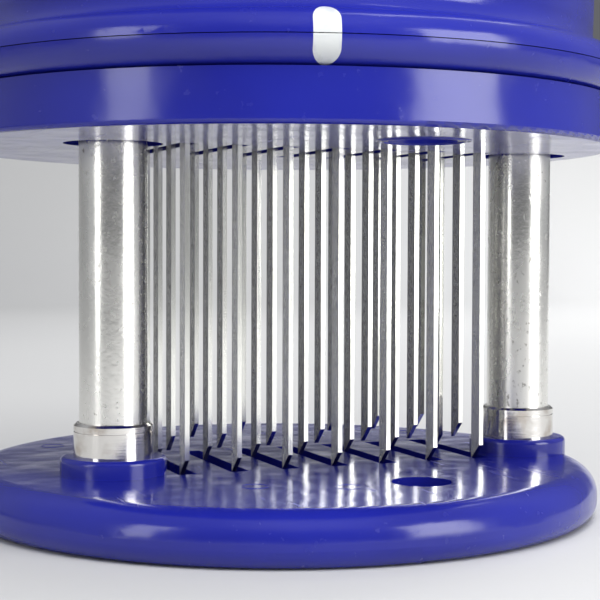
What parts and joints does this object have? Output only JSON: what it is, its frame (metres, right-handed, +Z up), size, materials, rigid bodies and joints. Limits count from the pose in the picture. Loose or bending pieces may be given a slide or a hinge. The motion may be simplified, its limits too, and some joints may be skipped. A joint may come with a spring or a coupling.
{
  "type": "hand meat tenderizer",
  "caption": "Palm-pressed round meat tenderizer: a capped handle drives rows of flat steel blades down through a slotted, sprung guard plate on guide tubes.",
  "frame": {"origin": "centre of the guard plate's flat bottom face", "axes": "+Z up along the guide tubes towards the handle; X along the line of the two guide tubes; -Y is the front, with the access hole and the index mark"},
  "size_m": [0.107, 0.107, 0.113],
  "materials": {
    "blue_abs": "high gloss, moulded ultramarine",
    "white_abs": "satin white",
    "holder_plastic": "natural acetal",
    "bush_plastic": "natural acetal",
    "tube_steel": "drawn stainless, lightly pitted",
    "ferrule_steel": "turned and polished stainless",
    "blade_steel": "stamped stainless with sheared edges",
    "spring_steel": "bright wire",
    "screw_steel": "plain stainless",
    "bridge_steel": "plain stainless"
  },
  "bodies": {
    "guard_base": {"base_screws": "screw_steel", "foot_ferrule_left": "ferrule_steel", "foot_ferrule_right": "ferrule_steel", "guard_plate": "blue_abs", "guide_tube_left": "tube_steel", "guide_tube_right": "tube_steel", "retaining_clips": "screw_steel", "return_spring_left": "spring_steel", "return_spring_right": "spring_steel", "tube_plugs": "screw_steel"},
    "handle": {"blade_clamp": "holder_plastic", "blade_holder": "holder_plastic", "blade_row_1": "blade_steel", "blade_row_2": "blade_steel", "blade_row_3": "blade_steel", "blade_row_4": "blade_steel", "bridge_screws": "screw_steel", "clamp_screws": "screw_steel", "guide_bush_left": "bush_plastic", "guide_bush_right": "bush_plastic", "housing": "blue_abs", "index_mark_housing": "white_abs", "spring_bridge": "bridge_steel", "spring_rod_left": "bridge_steel", "spring_rod_right": "bridge_steel"},
    "cap": {"cap": "blue_abs", "index_mark_cap": "white_abs"}
  },
  "joints": [
    {"name": "handle_press", "type": "slide", "parent": "guard_base", "child": "handle", "axis": [0, 0, -1], "range_m": [0, 0.03], "stiffness_N_per_m": 1500, "springref_m": -0.012, "deforming": ["return_spring_left", "return_spring_right"]},
    {"name": "cap_twist", "type": "hinge", "parent": "handle", "child": "cap", "pos_m": [0, 0, 0.0666], "axis": [0, 0, 1], "range_deg": [0, 28]}
  ]
}
